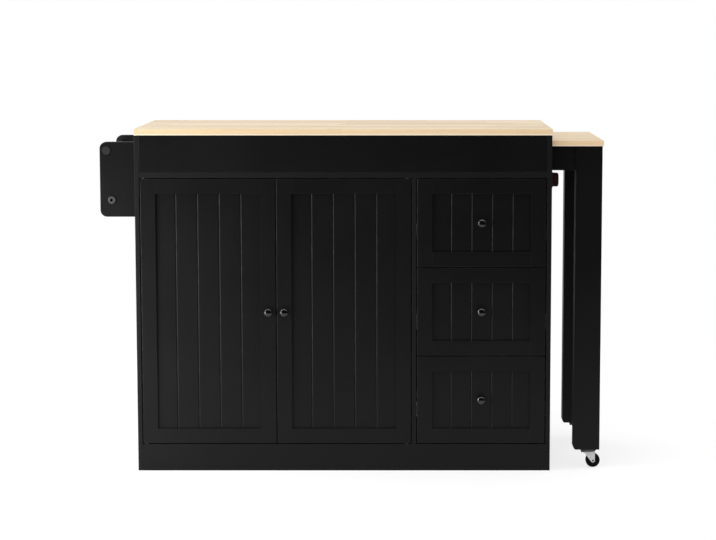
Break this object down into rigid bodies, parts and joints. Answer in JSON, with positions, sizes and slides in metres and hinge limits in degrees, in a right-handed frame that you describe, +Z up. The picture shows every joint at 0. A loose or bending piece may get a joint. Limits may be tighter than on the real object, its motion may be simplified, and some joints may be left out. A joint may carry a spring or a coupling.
{
  "type": "kitchen island",
  "caption": "Painted kitchen island with a cupboard and drawers under a wooden worktop, a table on castors that draws out of its side, and a towel rack.",
  "frame": {"origin": "on the floor, under the middle of the whole object's bounding box with the table as far out as in the picture", "axes": "+X to the right along the front, towards the draw-out table; +Y from the front to the back; +Z up"},
  "size_m": [1.338, 0.473, 0.914],
  "materials": {
    "black_paint": "satin black paint on wood board",
    "pale_wood": "clear satin lacquer on pale solid wood with a fine grain",
    "raw_board": "unpainted pale plywood",
    "chromed_steel": "polished chrome plate",
    "zinc_steel": "bright zinc plate on pressed steel",
    "dark_steel": "dark grey plating",
    "black_knob": "glossy black lacquer",
    "black_cap": "dark satin plastic",
    "maroon_rubber": "dark red rubber with a slight sheen",
    "black_plastic": "fine-grained black plastic",
    "pale_plastic": "smooth off-white plastic",
    "black_tyre": "smooth black rubber"
  },
  "bodies": {
    "cabinet": {"side_panel_left": "black_paint", "side_panel_right": "black_paint", "divider_panel": "black_paint", "bottom_panel": "black_paint", "deck_panel": "black_paint", "back_panel": "black_paint", "fascia_front": "black_paint", "fascia_rear": "black_paint", "plinth_boards": "black_paint", "worktop": "pale_wood", "shelf": "black_paint", "shelf_pins": "zinc_steel", "leaf_guides": "raw_board", "leaf_stop": "raw_board", "leg_bumpers": "maroon_rubber", "door_catch": "black_plastic", "hinge_bushes": "dark_steel", "drawer_channels": "zinc_steel", "rack_plate_front": "black_paint", "rack_plate_rear": "black_paint", "towel_bar_upper": "chromed_steel", "towel_bar_lower": "chromed_steel", "rack_bolts": "chromed_steel", "rack_caps": "black_cap", "rack_screws": "zinc_steel"},
    "door_left": {"door_left_frame": "black_paint", "door_left_panel": "black_paint", "door_left_knob": "black_knob", "door_left_pivots": "dark_steel"},
    "door_right": {"door_right_frame": "black_paint", "door_right_panel": "black_paint", "door_right_knob": "black_knob", "door_right_pivots": "dark_steel"},
    "drawer_upper": {"drawer_upper_front": "black_paint", "drawer_upper_panel": "black_paint", "drawer_upper_box": "raw_board", "drawer_upper_knob": "black_knob", "drawer_upper_runners": "zinc_steel"},
    "drawer_middle": {"drawer_middle_front": "black_paint", "drawer_middle_panel": "black_paint", "drawer_middle_box": "raw_board", "drawer_middle_knob": "black_knob", "drawer_middle_runners": "zinc_steel"},
    "drawer_lower": {"drawer_lower_front": "black_paint", "drawer_lower_panel": "black_paint", "drawer_lower_box": "raw_board", "drawer_lower_knob": "black_knob", "drawer_lower_runners": "zinc_steel"},
    "leaf": {"leaf_top": "pale_wood", "leaf_aprons": "black_paint", "leaf_rails": "black_paint", "leg_front": "black_paint", "leg_rear": "black_paint", "leaf_glides": "pale_plastic", "castor_plates": "dark_steel", "castor_screws": "dark_steel"},
    "castor_front": {"castor_fork_front": "zinc_steel"},
    "castor_rear": {"castor_fork_rear": "zinc_steel"},
    "wheel_front": {"castor_wheel_front": "black_tyre"},
    "wheel_rear": {"castor_wheel_rear": "black_tyre"}
  },
  "joints": [
    {"name": "door_left_swing", "type": "hinge", "parent": "cabinet", "child": "door_left", "pos_m": [-0.545, -0.2085, 0.4285], "axis": [0, 0, -1], "range_deg": [0, 110]},
    {"name": "door_right_swing", "type": "hinge", "parent": "cabinet", "child": "door_right", "pos_m": [0.15, -0.2085, 0.4285], "axis": [0, 0, 1], "range_deg": [0, 90]},
    {"name": "drawer_upper_slide", "type": "slide", "parent": "cabinet", "child": "drawer_upper", "axis": [0, -1, 0], "range_m": [0, 0.3]},
    {"name": "drawer_middle_slide", "type": "slide", "parent": "cabinet", "child": "drawer_middle", "axis": [0, -1, 0], "range_m": [0, 0.3]},
    {"name": "drawer_lower_slide", "type": "slide", "parent": "cabinet", "child": "drawer_lower", "axis": [0, -1, 0], "range_m": [0, 0.3]},
    {"name": "leaf_slide", "type": "slide", "parent": "cabinet", "child": "leaf", "axis": [1, 0, 0], "range_m": [-0.0445, 0.7]},
    {"name": "castor_front_swivel", "type": "hinge", "parent": "leaf", "child": "castor_front", "pos_m": [0.6365, -0.167, 0.045], "axis": [0, 0, 1], "continuous": true},
    {"name": "castor_rear_swivel", "type": "hinge", "parent": "leaf", "child": "castor_rear", "pos_m": [0.6365, 0.188, 0.045], "axis": [0, 0, 1], "continuous": true},
    {"name": "wheel_front_spin", "type": "hinge", "parent": "castor_front", "child": "wheel_front", "pos_m": [0.65, -0.167, 0.019], "axis": [0, 1, 0], "continuous": true},
    {"name": "wheel_rear_spin", "type": "hinge", "parent": "castor_rear", "child": "wheel_rear", "pos_m": [0.65, 0.188, 0.019], "axis": [0, 1, 0], "continuous": true}
  ]
}
